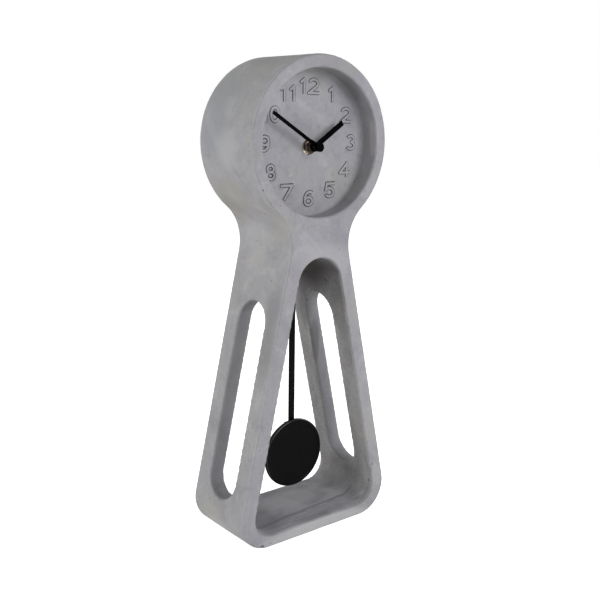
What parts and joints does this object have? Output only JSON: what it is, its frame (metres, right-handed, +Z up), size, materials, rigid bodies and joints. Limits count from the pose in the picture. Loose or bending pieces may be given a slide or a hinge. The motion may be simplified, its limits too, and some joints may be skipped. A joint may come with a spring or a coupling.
{
  "type": "desk pendulum clock",
  "caption": "Free-standing clock in a cast concrete case: round head with a recessed dial, raised numerals and black hands, two slotted legs and a swinging black pendulum.",
  "frame": {"origin": "on the ground under the middle of the case, halfway between its front and rear faces", "axes": "+X to the right seen from the front, +Y to the rear (the dial faces -Y), +Z up"},
  "size_m": [0.186, 0.0868, 0.475],
  "materials": {
    "concrete": "matte",
    "brass": "polished",
    "rubber": "matte",
    "black_hand": "satin",
    "black_cap": "satin",
    "white_gear": "satin",
    "black_knob": "satin",
    "black_shell": "matte",
    "steel": "satin",
    "magnet": "satin",
    "iron_sheet": "satin",
    "copper_wire": "satin",
    "circuit_board": "satin",
    "battery_can": "satin",
    "contact": "polished",
    "black_rod": "satin",
    "black_bob": "satin"
  },
  "bodies": {
    "case": {"concrete_case": "concrete", "movement_front_shell": "black_shell", "movement_back_shell": "black_shell", "threaded_bushing": "brass", "rubber_washer": "rubber", "brass_washer": "brass", "brass_nut": "brass", "stator": "iron_sheet", "coil_core": "iron_sheet", "coil_bobbin": "white_gear", "drive_coil": "copper_wire", "circuit_board": "circuit_board", "quartz_crystal": "steel", "battery_plate_contact": "contact", "battery_leaf_contact": "contact", "pendulum_coil": "copper_wire", "hanger_pivot_pin": "steel"},
    "minute": {"cannon_pinion": "steel", "minute_hand": "black_hand", "hand_cap_nut": "black_cap"},
    "hour": {"hour_wheel": "white_gear", "hour_hand": "black_hand"},
    "minute_wheel": {"minute_wheel": "white_gear"},
    "setting": {"setting_knob": "black_knob"},
    "centre_wheel": {"centre_wheel": "white_gear"},
    "third_wheel": {"third_wheel": "white_gear"},
    "fourth_wheel": {"fourth_wheel": "white_gear"},
    "fifth_wheel": {"fifth_wheel": "white_gear"},
    "rotor": {"rotor_pinion": "steel", "rotor_magnet": "magnet"},
    "battery": {"battery": "battery_can"},
    "pendulum": {"pendulum_hanger": "white_gear", "hanger_magnet": "magnet", "hook_plate": "black_rod", "hook_rivets": "steel", "pendulum_rod": "black_rod", "pendulum_bob": "black_bob", "bob_clip": "black_shell"}
  },
  "joints": [
    {"name": "minute_spin", "type": "hinge", "parent": "case", "child": "minute", "pos_m": [0, 0, 0.3896], "axis": [0, 1, 0], "continuous": true},
    {"name": "hour_spin", "type": "hinge", "parent": "case", "child": "hour", "pos_m": [0, 0, 0.3896], "axis": [0, 1, 0], "continuous": true},
    {"name": "minute_wheel_spin", "type": "hinge", "parent": "case", "child": "minute_wheel", "pos_m": [-0.00786, 0, 0.38409], "axis": [0, 1, 0], "continuous": true},
    {"name": "setting_spin", "type": "hinge", "parent": "case", "child": "setting", "pos_m": [-0.01689, 0, 0.38081], "axis": [0, 1, 0], "continuous": true},
    {"name": "rotor_spin", "type": "hinge", "parent": "case", "child": "rotor", "pos_m": [-0.0089, 0, 0.41409], "axis": [0, 1, 0], "continuous": true},
    {"name": "fifth_spin", "type": "hinge", "parent": "case", "child": "fifth_wheel", "pos_m": [-0.01399, 0, 0.409], "axis": [0, 1, 0], "continuous": true},
    {"name": "fourth_spin", "type": "hinge", "parent": "case", "child": "fourth_wheel", "pos_m": [-0.01545, 0, 0.40072], "axis": [0, 1, 0], "continuous": true},
    {"name": "third_spin", "type": "hinge", "parent": "case", "child": "third_wheel", "pos_m": [-0.0054, 0, 0.39895], "axis": [0, 1, 0], "continuous": true},
    {"name": "centre_wheel_spin", "type": "hinge", "parent": "case", "child": "centre_wheel", "pos_m": [0, 0, 0.3896], "axis": [0, 1, 0], "continuous": true},
    {"name": "pendulum_swing", "type": "hinge", "parent": "case", "child": "pendulum", "pos_m": [0, 0, 0.4296], "axis": [0, 1, 0], "range_deg": [-4, 4]},
    {"name": "battery_slide", "type": "slide", "parent": "case", "child": "battery", "axis": [0, 1, 0], "range_m": [0, 0.03]}
  ],
  "couplings": [
    {"joint": "hour_spin", "follows": "minute_spin", "ratio": 0.083333},
    {"joint": "minute_wheel_spin", "follows": "minute_spin", "ratio": -0.33333},
    {"joint": "setting_spin", "follows": "minute_spin", "ratio": 1},
    {"joint": "fifth_spin", "follows": "rotor_spin", "ratio": -0.2},
    {"joint": "fourth_spin", "follows": "rotor_spin", "ratio": 0.033333},
    {"joint": "third_spin", "follows": "rotor_spin", "ratio": -0.0044444},
    {"joint": "centre_wheel_spin", "follows": "rotor_spin", "ratio": 0.00055556}
  ]
}
